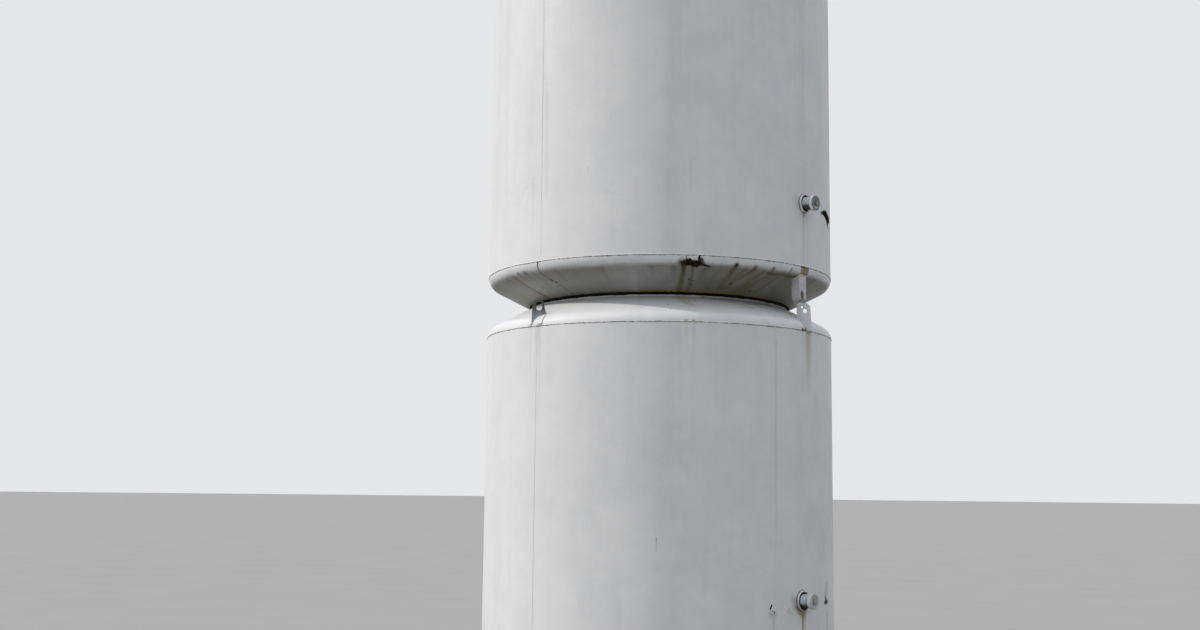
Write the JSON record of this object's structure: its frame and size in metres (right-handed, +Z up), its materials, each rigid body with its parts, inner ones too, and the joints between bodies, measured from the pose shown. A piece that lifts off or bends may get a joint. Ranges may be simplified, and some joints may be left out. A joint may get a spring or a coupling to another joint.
{
  "type": "vertical storage tank",
  "caption": "Vertical storage tank of stacked steel units with knuckled ends, a recessed waist, lugs, feet and a screwed drain near the bottom of each unit.",
  "frame": {"origin": "middle of the plinth's underside, on the ground", "axes": "+Z up along the tank's axis; front, with the drains to its right, is -Y; +X to the right seen from the front"},
  "size_m": [2.3972, 2.3972, 5.4384],
  "materials": {
    "shell_paint": "weathered off-white semi-gloss paint with rust at the welds",
    "bracket_paint": "worn light grey paint with rust at the foot welds",
    "drain_metal": "dull painted steel fittings with rust",
    "seat_rubber": "black rubber, dirty",
    "plinth_concrete": "cast concrete, matt, stained"
  },
  "bodies": {
    "root": {"plinth": "plinth_concrete", "base_seat_ring": "seat_rubber", "waist_seat_ring": "seat_rubber", "lower_bottom_head": "shell_paint", "lower_shell": "shell_paint", "lower_top_head": "shell_paint", "upper_bottom_head": "shell_paint", "upper_shell": "shell_paint", "upper_top_head": "shell_paint", "lower_lug_front_left": "bracket_paint", "lower_foot_front_left": "bracket_paint", "lower_lug_front_right": "bracket_paint", "lower_foot_front_right": "bracket_paint", "lower_lug_back_right": "bracket_paint", "lower_foot_back_right": "bracket_paint", "lower_lug_back_left": "bracket_paint", "lower_foot_back_left": "bracket_paint", "lower_drain_collar": "drain_metal", "lower_drain_stub": "drain_metal", "lower_drain_cap": "drain_metal", "upper_lug_front_left": "bracket_paint", "upper_lug_front_right": "bracket_paint", "upper_foot_front_right": "bracket_paint", "upper_lug_back_right": "bracket_paint", "upper_foot_back_right": "bracket_paint", "upper_lug_back_left": "bracket_paint", "upper_foot_back_left": "bracket_paint", "upper_drain_collar": "drain_metal", "upper_drain_stub": "drain_metal", "upper_drain_cap": "drain_metal"}
  },
  "joints": []
}
